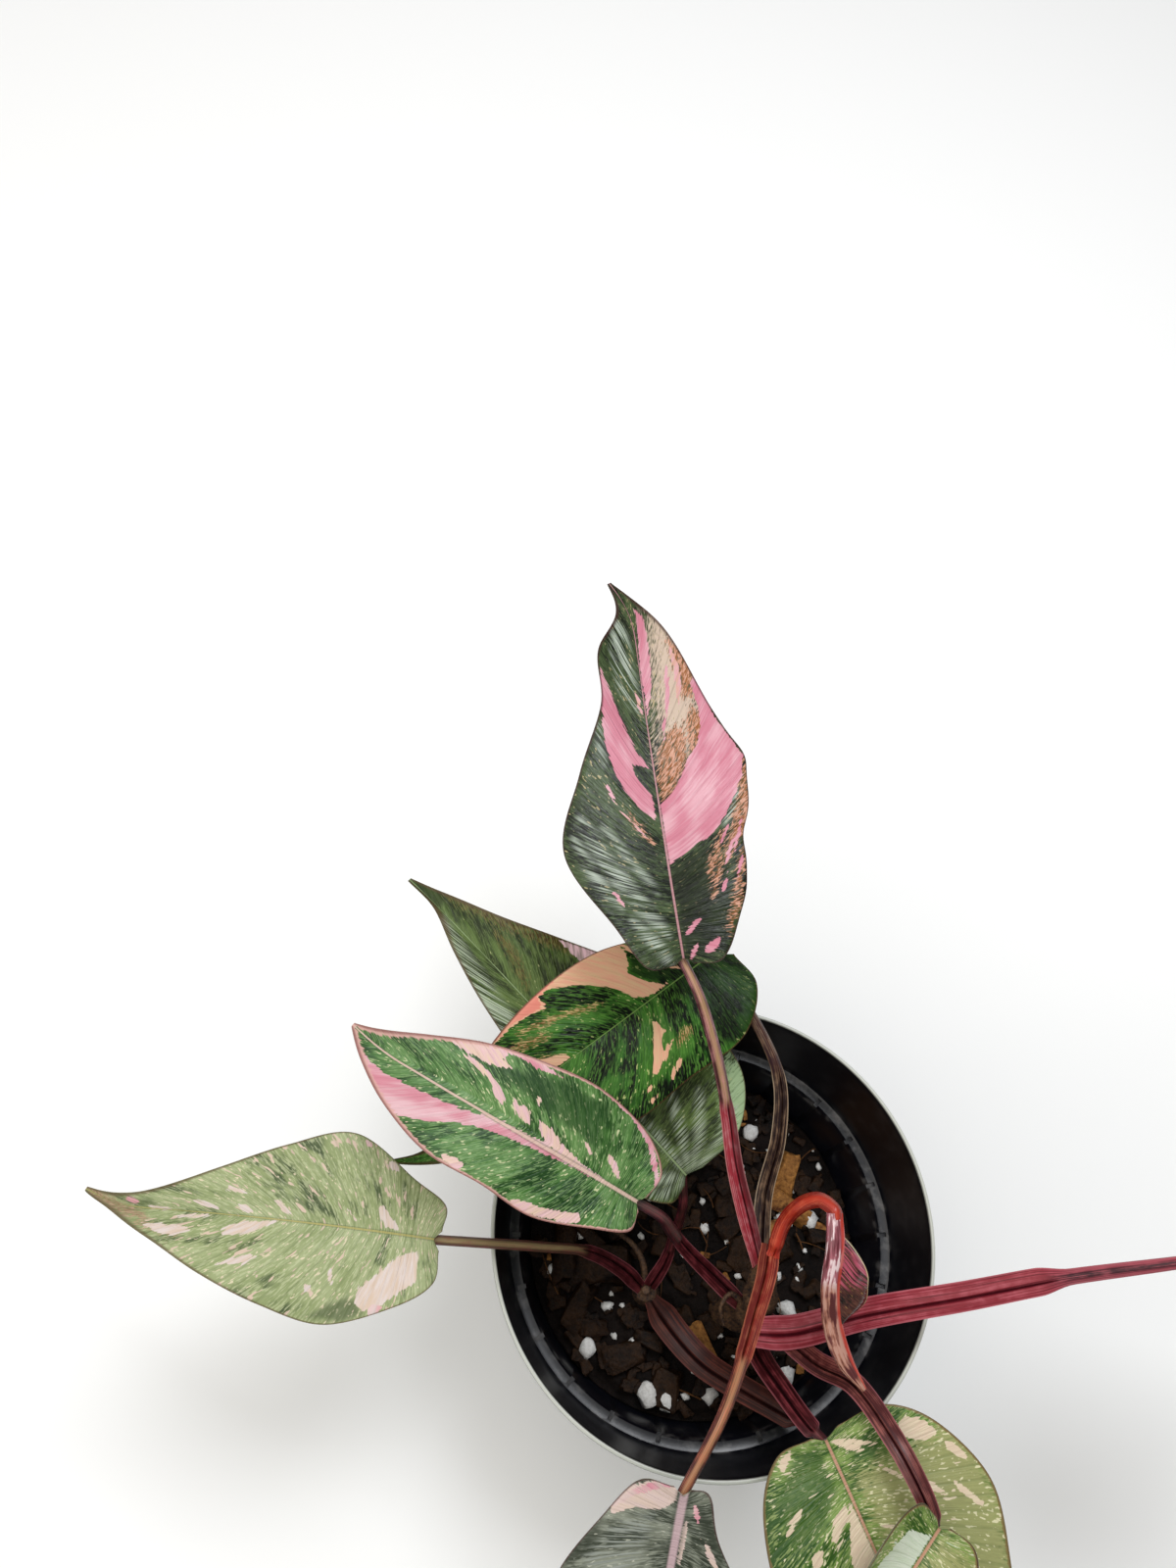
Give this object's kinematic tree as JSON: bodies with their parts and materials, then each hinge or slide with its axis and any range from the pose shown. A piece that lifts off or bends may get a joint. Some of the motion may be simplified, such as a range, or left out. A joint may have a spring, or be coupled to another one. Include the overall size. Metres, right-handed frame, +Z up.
{
  "type": "potted philodendron",
  "caption": "Young philodendron with heart-shaped pink and cream variegated leaves on wine red stalks, growing from two short stems in a round black nursery pot of bark mix.",
  "frame": {"origin": "centre of the pot's underside, on the surface it stands on", "axes": "+Z up along the pot's axis; +Y towards the leaf that points away from the viewer; +X to the viewer's right, towards the far right leaf"},
  "size_m": [0.3216, 0.2617, 0.1481],
  "materials": {
    "pot_plastic": "thin black moulded polypropylene, satin, a little dusty",
    "potting_mix": "dark damp bark and peat with white perlite grains",
    "stem_skin": "dull brown red skin with pale corky rings",
    "stalk": "smooth wine red, waxy sheen, fine lengthwise stripes",
    "new_growth": "glossy orange red, soft and translucent",
    "blade": "satin deep green with pink and cream patches and pale flecks along the veins"
  },
  "bodies": {
    "root": {"pot": "pot_plastic", "potting_mix": "potting_mix", "main_stem": "stem_skin", "side_stem": "stem_skin", "top_stalk": "stalk", "cream_stalk": "stalk", "green_stalk": "stalk", "rear_stalk": "stalk", "left_stalk": "stalk", "front_stalk": "stalk", "low_stalk": "stalk", "folded_stalk": "stalk", "right_stalk": "stalk", "old_stalk": "stalk", "new_stalk": "new_growth", "new_leaf": "new_growth", "top_leaf": "blade", "cream_leaf": "blade", "green_leaf": "blade", "rear_leaf": "blade", "left_leaf": "blade", "front_leaf": "blade", "low_leaf": "blade", "folded_leaf": "blade", "right_leaf": "blade"}
  },
  "joints": []
}
